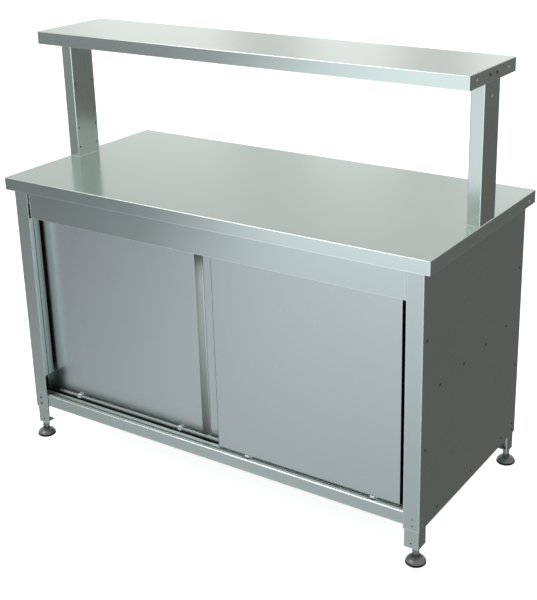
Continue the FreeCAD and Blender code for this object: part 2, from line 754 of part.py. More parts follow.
def door(ends, face, pull_start, rollers):
    """Folded tray door, open at the back inside its lips, with a finger groove down its face."""
    left, right = ends
    back = face + door_thickness
    pull_end = pull_start + pull_width
    floor = face + pull_depth
    outline = [(left, face), (pull_start, face), (pull_start, floor), (pull_end, floor), (pull_end, face),
               (right, face), (right, back), (left, back), (left, face)]
    body = Part.Face(Part.makePolygon([V(x, y, door_bottom) for x, y in outline]))
    body = body.extrude(V(0, 0, door_top - door_bottom))
    bends = [(left, face), (pull_start, face), (pull_end, face), (right, face)]
    body = body.makeFillet(door_bend, upright_edges(body, bends))
    low = door_bottom + door_sheet
    high = door_top - door_sheet
    inner_back = back - door_sheet
    body = body.cut(box(left + door_sheet, pull_start - door_sheet, face + door_sheet, inner_back, low, high))
    body = body.cut(box(pull_end + door_sheet, right - door_sheet, face + door_sheet, inner_back, low, high))
    body = body.cut(box(left + door_lip, right - door_lip, inner_back, back,
                        door_bottom + door_lip, door_top - door_lip))
    half_slot = roller_width / 2 + roller_side_gap + bracket_sheet + slot_gap
    wheel_y = face + roller_from_face
    reach = roller_radius + slot_gap
    for x in rollers:
        body = body.cut(box(x - reach, x + reach, wheel_y - half_slot, wheel_y + half_slot, door_bottom, low))
    return body


def roller_bracket(x, face):
    """Bridge that stands on the door's lower fold and carries the roller between two cheeks."""
    wheel_y = face + roller_from_face
    seat = door_bottom + door_sheet
    crown = seat + bracket_height
    inner = roller_width / 2 + roller_side_gap
    outer = inner + bracket_sheet
    half = bracket_half_length
    pieces = [box(x - half, x + half, wheel_y - outer, wheel_y + outer, crown - bracket_sheet, crown)]
    for side in (-1, 1):
        near, far = sorted((x + side * (half - bracket_sheet), x + side * half))
        pieces.append(box(near, far, wheel_y - outer, wheel_y + outer, seat, crown))
        near, far = sorted((x + side * (half - bracket_sheet), x + side * (half + bracket_foot)))
        pieces.append(box(near, far, wheel_y - outer, wheel_y + outer, seat, seat + bracket_sheet))
        near, far = sorted((wheel_y + side * inner, wheel_y + side * outer))
        pieces.append(box(x - cheek_width / 2, x + cheek_width / 2, near, far,
                          axle_height - cheek_below_axle, crown))
        boss = rod(axle_head_radius, V(x, near, axle_height), V(x, far, axle_height))
        pieces.append(boss)
    bore = rod(axle_radius, V(x, wheel_y - outer, axle_height), V(x, wheel_y + outer, axle_height))
    return joined(pieces).cut(bore)


def roller_axle(x, face):
    """Pin through the bracket's cheeks, flush in front and headed behind."""
    wheel_y = face + roller_from_face
    outer = roller_width / 2 + roller_side_gap + bracket_sheet
    pin = rod(axle_radius, V(x, wheel_y - outer, axle_height), V(x, wheel_y + outer, axle_height))
    start = V(x, wheel_y + outer, axle_height)
    return joined([pin, rod(axle_head_radius, start, start + V(0, axle_head, 0))])


def roller(x, face):
    """Plain wheel with rounded rims, bored to run on its axle."""
    wheel_y = face + roller_from_face
    start = V(x, wheel_y - roller_width / 2, axle_height)
    wheel = rod(roller_radius, start, start + V(0, roller_width, 0))
    wheel = wheel.makeFillet(roller_rim, [e for e in wheel.Edges if e.Closed])
    return wheel.cut(rod(axle_radius + axle_fit, start, start + V(0, roller_width, 0)))


def door_guide(x, face):
    """Slide block on the door's top fold that runs between the walls of the upper track."""
    gap = door_side_gap - guide_gap
    return box(x - guide_length / 2, x + guide_length / 2, face - gap, face + door_thickness + gap,
               door_top, door_top + guide_height)


# Doors: the left one runs on the rear track and the right one on the front track.
door_plan = {
    "left": (rear_door_ends, rear_door_face, rear_pull_start, rear_rollers),
    "right": (front_door_ends, front_door_face, front_pull_start, front_rollers),
}
for name, (ends, face, pull_start, rollers) in door_plan.items():
    export(name + "_door", door(ends, face, pull_start, rollers))
    export(name + "_roller_brackets", Part.makeCompound([roller_bracket(x, face) for x in rollers]))
    export(name + "_roller_axles", Part.makeCompound([roller_axle(x, face) for x in rollers]))
    for which, x in zip(("a", "b"), rollers):
        export(name + "_roller_" + which, roller(x, face))
    guide_places = (ends[0] + guide_inset, pull_start - guide_inset)
    export(name + "_door_guides", Part.makeCompound([door_guide(x, face) for x in guide_places]))
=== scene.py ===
import math

import bmesh
import bpy
import numpy as np
from mathutils import Matrix, Vector


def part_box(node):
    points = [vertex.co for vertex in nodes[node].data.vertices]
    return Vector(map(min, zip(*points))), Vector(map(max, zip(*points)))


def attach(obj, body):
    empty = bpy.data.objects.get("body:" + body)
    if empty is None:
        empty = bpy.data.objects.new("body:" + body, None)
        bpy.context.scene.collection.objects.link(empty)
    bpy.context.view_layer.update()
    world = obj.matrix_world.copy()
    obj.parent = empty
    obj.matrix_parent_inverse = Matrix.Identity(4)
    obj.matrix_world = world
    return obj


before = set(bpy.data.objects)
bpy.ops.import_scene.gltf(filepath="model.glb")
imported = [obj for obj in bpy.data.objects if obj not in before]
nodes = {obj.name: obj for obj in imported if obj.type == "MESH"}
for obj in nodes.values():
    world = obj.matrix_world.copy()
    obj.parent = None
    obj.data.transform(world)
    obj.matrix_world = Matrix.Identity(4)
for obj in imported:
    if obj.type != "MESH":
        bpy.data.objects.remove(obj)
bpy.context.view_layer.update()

# LEGS
# Four folded angles of 2 mm stainless sheet with shorter angles nested inside their lower ends.
# The sheet is ground upright, so the grain runs along each leg.


def steel_grain_group():
    """Ground steel: fine noise drawn out along the grain gives streaks, a slow noise gives smudges.

    Tone is the streaks with a share of the smudges, Rough slides between two limits with the smudges
    and the streaks, and Height is the streaks alone.
    """
    group = bpy.data.node_groups.new("steel grain", "ShaderNodeTree")
    for name, kind in (("Vector", "NodeSocketVector"), ("Stretch", "NodeSocketVector"),
                       ("Smooth", "NodeSocketFloat"), ("Dull", "NodeSocketFloat")):
        group.interface.new_socket(name, in_out="INPUT", socket_type=kind)
    for name in ("Tone", "Rough", "Height"):
        group.interface.new_socket(name, in_out="OUTPUT", socket_type="NodeSocketFloat")
    node = group.nodes.new
    link = group.links.new
    source = node("NodeGroupInput")
    result = node("NodeGroupOutput")
    drawn = node("ShaderNodeVectorMath")
    drawn.operation = "MULTIPLY"
    link(source.outputs["Vector"], drawn.inputs[0])
    link(source.outputs["Stretch"], drawn.inputs[1])
    streaks = node("ShaderNodeTexNoise")
    streaks.inputs["Scale"].default_value = 1.0
    streaks.inputs["Detail"].default_value = 4.0
    streaks.inputs["Roughness"].default_value = 0.65
    link(drawn.outputs["Vector"], streaks.inputs["Vector"])
    smudges = node("ShaderNodeTexNoise")
    smudges.inputs["Scale"].default_value = 4.5
    smudges.inputs["Detail"].default_value = 5.0
    smudges.inputs["Roughness"].default_value = 0.6
    smudges.inputs["Distortion"].default_value = 0.4
    link(source.outputs["Vector"], smudges.inputs["Vector"])
    tone = node("ShaderNodeMix")
    tone.inputs["Factor"].default_value = 0.35
    link(streaks.outputs["Fac"], tone.inputs["A"])
    link(smudges.outputs["Fac"], tone.inputs["B"])
    rough = node("ShaderNodeMapRange")
    rough.inputs["From Min"].default_value = 0.3
    rough.inputs["From Max"].default_value = 0.7
    link(tone.outputs["Result"], rough.inputs["Value"])
    link(source.outputs["Smooth"], rough.inputs["To Min"])
    link(source.outputs["Dull"], rough.inputs["To Max"])
    link(tone.outputs["Result"], result.inputs["Tone"])
    link(rough.outputs["Result"], result.inputs["Rough"])
    link(streaks.outputs["Fac"], result.inputs["Height"])
    return group


steel_grain = steel_grain_group()


def fold_highlight_group():
    """Mask for a painted highlight along folds: how near a point of a box is to the box's nearest edge, broken up
    by noise.

    The distance to each pair of sides is half the box less the distance from its centre. The middle one
    of the three distances is zero along the edges, and Mask falls from one there to nothing at the band's width.
    """
    group = bpy.data.node_groups.new("painted fold highlight", "ShaderNodeTree")
    for name, kind in (("Vector", "NodeSocketVector"), ("Centre", "NodeSocketVector"),
                       ("Half", "NodeSocketVector"), ("Band", "NodeSocketFloat")):
        group.interface.new_socket(name, in_out="INPUT", socket_type=kind)
    group.interface.new_socket("Mask", in_out="OUTPUT", socket_type="NodeSocketFloat")
    link = group.links.new

    def vector(how, first, second=None):
        step = group.nodes.new("ShaderNodeVectorMath")
        step.operation = how
        link(first, step.inputs[0])
        if second:
            link(second, step.inputs[1])
        return step.outputs["Vector"]

    def value(how, first, second):
        step = group.nodes.new("ShaderNodeMath")
        step.operation = how
        link(first, step.inputs[0])
        link(second, step.inputs[1])
        return step.outputs["Value"]

    source = group.nodes.new("NodeGroupInput")
    result = group.nodes.new("NodeGroupOutput")
    away = vector("ABSOLUTE", vector("SUBTRACT", source.outputs["Vector"], source.outputs["Centre"]))
    sides = group.nodes.new("ShaderNodeSeparateXYZ")
    link(vector("ABSOLUTE", vector("SUBTRACT", source.outputs["Half"], away)), sides.inputs["Vector"])
    x, y, z = sides.outputs
    middle = value("MAXIMUM", value("MINIMUM", x, y), value("MINIMUM", value("MAXIMUM", x, y), z))
    fade = group.nodes.new("ShaderNodeMapRange")
    fade.interpolation_type = "SMOOTHSTEP"
    fade.inputs["To Min"].default_value = 1.0
    fade.inputs["To Max"].default_value = 0.0
    link(middle, fade.inputs["Value"])
    link(source.outputs["Band"], fade.inputs["From Max"])
    rubs = group.nodes.new("ShaderNodeTexNoise")
    rubs.inputs["Scale"].default_value = 28.0
    rubs.inputs["Detail"].default_value = 4.0
    link(source.outputs["Vector"], rubs.inputs["Vector"])
    broken = group.nodes.new("ShaderNodeMapRange")
    broken.inputs["From Min"].default_value = 0.25
    broken.inputs["From Max"].default_value = 0.6
    broken.inputs["To Min"].default_value = 0.45
    link(rubs.outputs["Fac"], broken.inputs["Value"])
    link(value("MULTIPLY", fade.outputs["Result"], broken.outputs["Result"]), result.inputs["Mask"])
    return group


fold_highlight = fold_highlight_group()


def paint_fold_highlight(material, node, band, colour, gloss):
    """Paints a highlight along the edges of one node's box by lightening its colour there, and makes the finish
    smoother there as on polished bends.
    """
    tree = material.node_tree
    shader = tree.nodes["Principled BSDF"]
    low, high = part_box(node)
    edge = tree.nodes.new("ShaderNodeGroup")
    edge.node_tree = fold_highlight
    edge.inputs["Centre"].default_value = [(a + b) / 2 for a, b in zip(low, high)]
    edge.inputs["Half"].default_value = [(b - a) / 2 for a, b in zip(low, high)]
    edge.inputs["Band"].default_value = band
    place = tree.nodes.new("ShaderNodeTexCoord")
    tree.links.new(place.outputs["Object"], edge.inputs["Vector"])
    tone = tree.nodes.new("ShaderNodeMix")
    tone.data_type = "RGBA"
    tone.inputs["B"].default_value = (*colour, 1.0)
    tree.links.new(edge.outputs["Mask"], tone.inputs["Factor"])
    tree.links.new(shader.inputs["Base Color"].links[0].from_socket, tone.inputs["A"])
    tree.links.new(tone.outputs["Result"], shader.inputs["Base Color"])
    polish = tree.nodes.new("ShaderNodeMix")
    polish.inputs["B"].default_value = gloss
    tree.links.new(edge.outputs["Mask"], polish.inputs["Factor"])
    tree.links.new(shader.inputs["Roughness"].links[0].from_socket, polish.inputs["A"])
    tree.links.new(polish.outputs["Result"], shader.inputs["Roughness"])


def ground_steel(name, dark, light, stretch, smooth, dull, relief):
    """Stainless sheet: colour slides from dark to light with the grain, which also sets gloss and relief.

    Stretch is the grain's frequency per metre along each axis, so the lowest one is the way the grain runs.
    """
    material = bpy.data.materials.new(name)
    material.use_nodes = True
    tree = material.node_tree
    shader = tree.nodes["Principled BSDF"]
    shader.inputs["Metallic"].default_value = 1.0
    place = tree.nodes.new("ShaderNodeTexCoord")
    grain = tree.nodes.new("ShaderNodeGroup")
    grain.node_tree = steel_grain
    grain.inputs["Stretch"].default_value = stretch
    grain.inputs["Smooth"].default_value = smooth
    grain.inputs["Dull"].default_value = dull
    tree.links.new(place.outputs["Object"], grain.inputs["Vector"])
    tint = tree.nodes.new("ShaderNodeValToRGB")
    tint.color_ramp.elements[0].position = 0.3
    tint.color_ramp.elements[0].color = (*dark, 1.0)
    tint.color_ramp.elements[1].position = 0.7
    tint.color_ramp.elements[1].color = (*light, 1.0)
    tree.links.new(grain.outputs["Tone"], tint.inputs["Fac"])
    tree.links.new(tint.outputs["Color"], shader.inputs["Base Color"])
    tree.links.new(grain.outputs["Rough"], shader.inputs["Roughness"])
    bump = tree.nodes.new("ShaderNodeBump")
    bump.inputs["Strength"].default_value = relief
    bump.inputs["Distance"].default_value = 0.0004
    tree.links.new(grain.outputs["Height"], bump.inputs["Height"])
    tree.links.new(bump.outputs["Normal"], shader.inputs["Normal"])
    return material


def dress(material, *names):
    """Puts one finish on the CAD nodes named."""
    for name in names:
        nodes[name].data.materials[0] = material


upright_grain = (1500, 1500, 9)
corners = ("front_left", "front_right", "rear_left", "rear_right")
for leg in ["leg_" + c for c in corners] + ["lower_leg_" + c for c in corners]:
    leg_steel = ground_steel(
        "ground " + leg, dark=(0.500, 0.568, 0.548), light=(0.538, 0.612, 0.591),
        stretch=upright_grain, smooth=0.23, dull=0.29, relief=0.015)
    # painted highlight along the leg's folds, which are also smoother
    paint_fold_highlight(leg_steel, leg, band=0.0035, colour=(0.78, 0.82, 0.82), gloss=0.26)
    dress(leg_steel, leg)

# FEET
# Domed feet moulded in dark plastic with a black rubber rim, each on a turned steel stem with a hexagon.
# The stems screw into sleeves that are welded into the lower legs.
foot_black = bpy.data.materials.new("moulded black foot")
foot_black.use_nodes = True
foot_tree = foot_black.node_tree
foot_shader = foot_tree.nodes["Principled BSDF"]
foot_shader.inputs["Coat Roughness"].default_value = 0.18
foot_place = foot_tree.nodes.new("ShaderNodeTexCoord")
foot_speckle = foot_tree.nodes.new("ShaderNodeTexNoise")
foot_speckle.inputs["Scale"].default_value = 260.0
foot_speckle.inputs["Detail"].default_value = 3.0
foot_tree.links.new(foot_place.outputs["Object"], foot_speckle.inputs["Vector"])
foot_tint = foot_tree.nodes.new("ShaderNodeValToRGB")
foot_tint.color_ramp.elements[0].color = (0.105, 0.108, 0.110, 1.0)
foot_tint.color_ramp.elements[1].color = (0.195, 0.199, 0.203, 1.0)
foot_tree.links.new(foot_speckle.outputs["Fac"], foot_tint.inputs["Fac"])
foot_tree.links.new(foot_tint.outputs["Color"], foot_shader.inputs["Base Color"])
foot_gloss = foot_tree.nodes.new("ShaderNodeMapRange")
foot_gloss.inputs["To Min"].default_value = 0.22
foot_gloss.inputs["To Max"].default_value = 0.40
foot_tree.links.new(foot_speckle.outputs["Fac"], foot_gloss.inputs["Value"])
foot_bump = foot_tree.nodes.new("ShaderNodeBump")
foot_bump.inputs["Strength"].default_value = 0.08
foot_bump.inputs["Distance"].default_value = 0.0005
foot_tree.links.new(foot_speckle.outputs["Fac"], foot_bump.inputs["Height"])
foot_tree.links.new(foot_bump.outputs["Normal"], foot_shader.inputs["Normal"])


def colour_box_group():
    """Box mask for painted shade and painted highlights, and for darker or rubber parts of a finish.

    Each coordinate rises from the box's low side and falls to its high side over the soft distance,
    and Mask is the product of the three.
    """
    group = bpy.data.node_groups.new("colour box", "ShaderNodeTree")
    for name in ("Vector", "Low", "High", "Soft"):
        group.interface.new_socket(name, in_out="INPUT", socket_type="NodeSocketVector")
    group.interface.new_socket("Mask", in_out="OUTPUT", socket_type="NodeSocketFloat")
    source = group.nodes.new("NodeGroupInput")
    result = group.nodes.new("NodeGroupOutput")
    link = group.links.new

    def vector(how, first, second):
        step = group.nodes.new("ShaderNodeVectorMath")
        step.operation = how
        link(first, step.inputs[0])
        if isinstance(second, tuple):
            step.inputs[1].default_value = second
        else:
            link(second, step.inputs[1])
        return step.outputs["Vector"]

    def ramp(upper, lower):
        inward = vector("SUBTRACT", source.outputs[upper], source.outputs[lower])
        share = vector("DIVIDE", inward, source.outputs["Soft"])
        return vector("MINIMUM", vector("MAXIMUM", share, (0, 0, 0)), (1, 1, 1))

    sides = group.nodes.new("ShaderNodeSeparateXYZ")
    link(vector("MULTIPLY", ramp("Vector", "Low"), ramp("High", "Vector")), sides.inputs["Vector"])
    inside = sides.outputs["X"]
    for side in ("Y", "Z"):
        step = group.nodes.new("ShaderNodeMath")
        step.operation = "MULTIPLY"
        link(inside, step.inputs[0])
        link(sides.outputs[side], step.inputs[1])
        inside = step.outputs["Value"]
    link(inside, result.inputs["Mask"])
    return group


colour_box = colour_box_group()


def recolour_or_paint_light(material, low, high, soft, colour):
    """Turns a finish to another colour inside a soft-edged box."""
    tree = material.node_tree
    shader = tree.nodes["Principled BSDF"]
    place = tree.nodes.new("ShaderNodeTexCoord")
    box = tree.nodes.new("ShaderNodeGroup")
    box.node_tree = colour_box
    box.inputs["Low"].default_value = low
    box.inputs["High"].default_value = high
    box.inputs["Soft"].default_value = soft
    tree.links.new(place.outputs["Object"], box.inputs["Vector"])
    tone = tree.nodes.new("ShaderNodeMix")
    tone.data_type = "RGBA"
    tone.inputs["B"].default_value = (*colour, 1.0)
    tree.links.new(box.outputs["Mask"], tone.inputs["Factor"])
    tree.links.new(shader.inputs["Base Color"].links[0].from_socket, tone.inputs["A"])
    tree.links.new(tone.outputs["Result"], shader.inputs["Base Color"])


far = 9.0
thin = 0.0001
crisp = (thin, thin, thin)
rim_top, neck_low, hexagon_top, thread_pitch = 0.0085, 0.0195, 0.0378, 0.00175
rim_soft = (thin, thin, 0.0012)
recolour_or_paint_light(foot_black, (-far, -far, -far), (far, far, rim_top), rim_soft, (0.006, 0.006, 0.007))
recolour_or_paint_light(foot_black, (-far, -far, neck_low), (far, far, far), (thin, thin, 0.006), (0.012, 0.012, 0.013))
rim_box = foot_tree.nodes.new("ShaderNodeGroup")
rim_box.node_tree = colour_box
rim_box.inputs["Low"].default_value = (-far, -far, -far)
rim_box.inputs["High"].default_value = (far, far, rim_top)
rim_box.inputs["Soft"].default_value = rim_soft
foot_tree.links.new(foot_place.outputs["Object"], rim_box.inputs["Vector"])
for socket, plain, at_rim in (("Coat Weight", 0.8, 0.0), ("Metallic", 0.35, 0.0)):
    rim_fade = foot_tree.nodes.new("ShaderNodeMapRange")
    rim_fade.inputs["To Min"].default_value = plain
    rim_fade.inputs["To Max"].default_value = at_rim
    foot_tree.links.new(rim_box.outputs["Mask"], rim_fade.inputs["Value"])
    foot_tree.links.new(rim_fade.outputs["Result"], foot_shader.inputs[socket])
rim_dull = foot_tree.nodes.new("ShaderNodeMix")
rim_dull.inputs["B"].default_value = 0.95
foot_tree.links.new(rim_box.outputs["Mask"], rim_dull.inputs["Factor"])
foot_tree.links.new(foot_gloss.outputs["Result"], rim_dull.inputs["A"])
foot_tree.links.new(rim_dull.outputs["Result"], foot_shader.inputs["Roughness"])
dress(foot_black, *["foot_pad_" + c for c in corners])
turned_steel = ground_steel(
    "turned foot steel", dark=(0.58, 0.59, 0.60), light=(0.70, 0.71, 0.72),
    stretch=(60, 60, 1500), smooth=0.20, dull=0.32, relief=0.10)
stem_tree = turned_steel.node_tree
stem_place = stem_tree.nodes.new("ShaderNodeTexCoord")
thread = stem_tree.nodes.new("ShaderNodeTexWave")
thread.bands_direction = "Z"
# a wave texture turns 20 radians in one unit at scale one
thread.inputs["Scale"].default_value = 2 * math.pi / 20 / thread_pitch
stem_tree.links.new(stem_place.outputs["Object"], thread.inputs["Vector"])
stem_split = stem_tree.nodes.new("ShaderNodeSeparateXYZ")
stem_tree.links.new(stem_place.outputs["Object"], stem_split.inputs["Vector"])
shank = stem_tree.nodes.new("ShaderNodeMath")
shank.operation = "GREATER_THAN"
shank.inputs[1].default_value = hexagon_top
stem_tree.links.new(stem_split.outputs["Z"], shank.inputs[0])
thread_height = stem_tree.nodes.new("ShaderNodeMath")
thread_height.operation = "MULTIPLY"
stem_tree.links.new(thread.outputs["Fac"], thread_height.inputs[0])
stem_tree.links.new(shank.outputs["Value"], thread_height.inputs[1])
thread_bump = stem_tree.nodes.new("ShaderNodeBump")
thread_bump.inputs["Strength"].default_value = 0.8
thread_bump.inputs["Distance"].default_value = 0.0009
stem_shader = stem_tree.nodes["Principled BSDF"]
stem_tree.links.new(thread_height.outputs["Value"], thread_bump.inputs["Height"])
stem_tree.links.new(stem_shader.inputs["Normal"].links[0].from_socket, thread_bump.inputs["Normal"])
stem_tree.links.new(thread_bump.outputs["Normal"], stem_shader.inputs["Normal"])
recolour_or_paint_light(turned_steel, (-far, -far, -far), (far, far, hexagon_top), crisp, (0.22, 0.23, 0.235))
dress(turned_steel, *["foot_stem_" + c for c in corners])
socket_steel = ground_steel(
    "welded socket steel", dark=(0.20, 0.22, 0.22), light=(0.32, 0.35, 0.35),
    stretch=(90, 90, 90), smooth=0.45, dull=0.60, relief=0.12)
dress(socket_steel, "foot_sockets")

# PANELS
# Plain 1 mm sheets riveted to the outside of the legs, in the mill's satin finish.
# Their grain lies level, as the sheets are cut along the coil.
level_grain = (9, 9, 1500)
for panel in ("side_panel_left", "side_panel_right", "back_panel"):
    panel_steel = ground_steel(
        "satin " + panel, dark=(0.475, 0.540, 0.521), light=(0.493, 0.560, 0.540),
        stretch=level_grain, smooth=0.26, dull=0.32, relief=0.006)
    # painted highlight along the panel's folds, which are also smoother
    paint_fold_highlight(panel_steel, panel, band=0.003, colour=(0.72, 0.77, 0.74), gloss=0.28)
    dress(panel_steel, panel)

# RAILS, CLEATS, PACKERS, SUPPORTS AND STIFFENERS
# Inner pieces folded from mill-finish sheet; they carry the board, the fascia and the shelves.
# Nobody polishes them, so they are duller than the outside.
inner_steel = ground_steel(
    "mill inner steel", dark=(0.40, 0.42, 0.42), light=(0.52, 0.54, 0.54),
    stretch=(30, 160, 160), smooth=0.42, dull=0.58, relief=0.10)
dress(inner_steel, "rear_top_rail", "side_top_rail_left", "side_top_rail_right", "fascia_cleats", "shelf_packers",
      "shelf_support_left", "shelf_support_right", "overshelf_stiffener_front", "overshelf_stiffener_rear",
      "post_bases", "left_roller_brackets", "right_roller_brackets", "left_roller_axles", "right_roller_axles")

# SHELVES
# The bottom and middle shelves are folded trays, ground along the table's length.
# The bottom one's front edge shows under the doors.
lengthwise_grain = (9, 1500, 1500)
shelf_steel = ground_steel(
    "ground shelf steel", dark=(0.508, 0.577, 0.557), light=(0.548, 0.623, 0.601),
    stretch=lengthwise_grain, smooth=0.23, dull=0.29, relief=0.015)
# near-white painted highlight along the bottom shelf's folds, which are also smoother
paint_fold_highlight(shelf_steel, "bottom_shelf", band=0.0045, colour=(0.92, 0.95, 0.95), gloss=0.22)
shelf_face = 0.1575
# near-black painted shade on the bottom shelf's top: in the gap between the two door tracks, and in a thin line
# further forward
for shade_y, shade_half in ((-0.2900, 0.0063), (-0.3245, 0.0030)):
    recolour_or_paint_light(shelf_steel, (-far, shade_y - shade_half, shelf_face), (far, shade_y + shade_half, far),
          crisp, (0.012, 0.013, 0.013))
dress(shelf_steel, "bottom_shelf", "middle_shelf")

# TRACKS AND JAMBS
# Ribbed strips that the doors run on, the channels that hold their tops, and the folded strips
# that close the tracks' ends, all of drawn or folded stainless.
track_steel = ground_steel(
    "drawn track steel", dark=(0.502, 0.570, 0.550), light=(0.590, 0.670, 0.647),
    stretch=(5, 900, 900), smooth=0.26, dull=0.40, relief=0.05)
# near-black painted shade in the creases at the feet of the track's ribs, and along the front strip's rear edge
# by the gap between the tracks
for shade_y, shade_half in ((-0.3246, 0.0011), (-0.3186, 0.0011), (-0.3151, 0.0011), (-0.2993, 0.0036)):
    recolour_or_paint_light(track_steel, (-far, shade_y - shade_half, -far), (far, shade_y + shade_half, far),
          crisp, (0.03, 0.033, 0.033))
dress(track_steel, "lower_track", "upper_track")


def carried(name, profile, along, stations):
    """Closed profile carried straight along one axis.

    Every station repeats the profile, and flat faces close both ends.
    """
    across = [axis for axis in range(3) if axis != along]
    count = len(profile)
    grid = np.zeros((len(stations), count, 3))
    grid[:, :, across] = profile
    grid[:, :, along] = np.asarray(stations)[:, None]
    first = np.arange(count)
    following = np.roll(first, -1)
    rows = np.arange(len(stations) - 1)[:, None] * count
    walls = np.stack([rows + first, rows + following,
                      rows + count + following, rows + count + first], axis=-1)
    ends = [list(first[::-1]), list(first + (len(stations) - 1) * count)]
    mesh = bpy.data.meshes.new(name)
    mesh.from_pydata(grid.reshape(-1, 3).tolist(), [], walls.reshape(-1, 4).tolist() + ends)
    body = bmesh.new()
    body.from_mesh(mesh)
    bmesh.ops.recalc_face_normals(body, faces=body.faces)
    body.to_mesh(mesh)
    body.free()
    piece = bpy.data.objects.new(name, mesh)
    bpy.context.scene.collection.objects.link(piece)
    return piece


def rounded_bar(low, high, radius):
    """Rectangle with round corners: four quarter circles about the corners drawn in by the radius."""
    turn = np.linspace(0, np.pi / 2, 5)
    quarters = np.arange(4)[:, None] * np.pi / 2 + turn
    centres = np.array([(high[0] - radius, high[1] - radius), (low[0] + radius, high[1] - radius),
                        (low[0] + radius, low[1] + radius), (high[0] - radius, low[1] + radius)])
    circle = np.stack([np.cos(quarters), np.sin(quarters)], axis=-1)
    return (centres[:, None, :] + radius * circle).reshape(-1, 2)


# the wall's steel is the track's steel painted lighter, a painted highlight on the rear track's wall
wall_steel = ground_steel(
    "drawn wall steel", dark=(0.590, 0.670, 0.647), light=(0.678, 0.770, 0.743),
    stretch=(5, 900, 900), smooth=0.28, dull=0.40, relief=0.05)
wall_foot, wall_crest, wall_lean, wall_half_length = 0.1598, 0.1690, 0.30, 0.662
wall_section = rounded_bar((-0.2849, wall_foot), (-0.2840, wall_crest), 0.0004)
wall_section[:, 0] -= (wall_crest - wall_section[:, 1]) * wall_lean
track_wall = carried("rear_track_wall", wall_section, 0, (-wall_half_length, wall_half_length))
track_wall.data.materials.append(wall_steel)
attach(track_wall, "frame")
for jamb in ("jamb_left", "jamb_right"):
    jamb_steel = ground_steel(
        "folded " + jamb, dark=(0.500, 0.568, 0.548), light=(0.538, 0.612, 0.591),
        stretch=upright_grain, smooth=0.23, dull=0.29, relief=0.015)
    # painted highlight along the jamb's folds, which are also smoother
    paint_fold_highlight(jamb_steel, jamb, band=0.003, colour=(0.72, 0.77, 0.77), gloss=0.28)
    dress(jamb_steel, jamb)
    # painted shade on the jamb's rear part, deepening over 24 mm towards the back
    recolour_or_paint_light(jamb_steel, (-far, -0.316, -far), (far, far, far), (thin, 0.024, thin), (0.20, 0.22, 0.22))

# FASCIA
# The channel above the doors, set a little back between the legs, ground along its length.
# It hides the upper track.
fascia_steel = ground_steel(
    "ground fascia steel", dark=(0.500, 0.568, 0.548), light=(0.538, 0.612, 0.591),
    stretch=lengthwise_grain, smooth=0.17, dull=0.23, relief=0.02)
# painted highlight along the fascia's folds, which are also smoother
paint_fold_highlight(fascia_steel, "fascia", band=0.003, colour=(0.72, 0.77, 0.77), gloss=0.28)
dress(fascia_steel, "fascia")

# DOORS
# Folded tray doors with a finger groove down the face, in satin sheet; the right one's groove lies in shade.
# They roll on nylon wheels and are kept upright by nylon blocks on top.
for door in ("left_door", "right_door"):
    door_steel = ground_steel(
        "satin " + door, dark=(0.531, 0.582, 0.578), light=(0.549, 0.602, 0.598),
        stretch=upright_grain, smooth=0.26, dull=0.31, relief=0.004)
    # painted highlight along the door's folds, which are also smoother
    paint_fold_highlight(door_steel, door, band=0.003, colour=(0.74, 0.79, 0.79), gloss=0.26)
    dress(door_steel, door)
bend_end, groove_left, groove_right = 0.0335, 0.6564, 0.6906
# door_steel is the right door's finish, the loop's last; here a painted dark reflection runs along its folded
# left edge
recolour_or_paint_light(door_steel, (-far, -far, -far), (bend_end, far, far), crisp, (0.22, 0.245, 0.24))
# near-black painted shade inside the right door's finger groove
recolour_or_paint_light(door_steel, (groove_left, -0.3162, -far), (groove_right, far, far), (thin, 0.0042, thin),
      (0.035, 0.040, 0.040))
nylon = bpy.data.materials.new("white nylon")
nylon.use_nodes = True
nylon_tree = nylon.node_tree
nylon_shader = nylon_tree.nodes["Principled BSDF"]
nylon_place = nylon_tree.nodes.new("ShaderNodeTexCoord")
nylon_scuff = nylon_tree.nodes.new("ShaderNodeTexNoise")
nylon_scuff.inputs["Scale"].default_value = 180.0
nylon_scuff.inputs["Detail"].default_value = 3.0
nylon_tree.links.new(nylon_place.outputs["Object"], nylon_scuff.inputs["Vector"])
nylon_tint = nylon_tree.nodes.new("ShaderNodeValToRGB")
nylon_tint.color_ramp.elements[0].color = (0.78, 0.80, 0.79, 1.0)
nylon_tint.color_ramp.elements[1].color = (0.90, 0.92, 0.91, 1.0)
nylon_tree.links.new(nylon_scuff.outputs["Fac"], nylon_tint.inputs["Fac"])
nylon_tree.links.new(nylon_tint.outputs["Color"], nylon_shader.inputs["Base Color"])
nylon_gloss = nylon_tree.nodes.new("ShaderNodeMapRange")
nylon_gloss.inputs["To Min"].default_value = 0.35
nylon_gloss.inputs["To Max"].default_value = 0.55
nylon_tree.links.new(nylon_scuff.outputs["Fac"], nylon_gloss.inputs["Value"])
nylon_tree.links.new(nylon_gloss.outputs["Result"], nylon_shader.inputs["Roughness"])
dress(nylon, "left_roller_a", "left_roller_b", "right_roller_a", "right_roller_b",
      "left_door_guides", "right_door_guides")

# GROOVE LINING
# A shallow trough of drawn stainless pressed into the left door's finger groove.
# Its own spring holds it between the groove's walls; the right door's groove is left bare.
# the lining's steel is painted darker than the door's, as shade in the groove
groove_steel = ground_steel(
    "drawn groove steel", dark=(0.360, 0.400, 0.390), light=(0.385, 0.427, 0.417),
    stretch=upright_grain, smooth=0.50, dull=0.60, relief=0.02)
groove_steel.node_tree.nodes["Principled BSDF"].inputs["Metallic"].default_value = 0.35
# a painted highlight line down the lining
recolour_or_paint_light(groove_steel, (-0.0335, -far, -far), (-0.0305, far, far), (0.0005, thin, thin), (0.85, 0.90, 0.89))


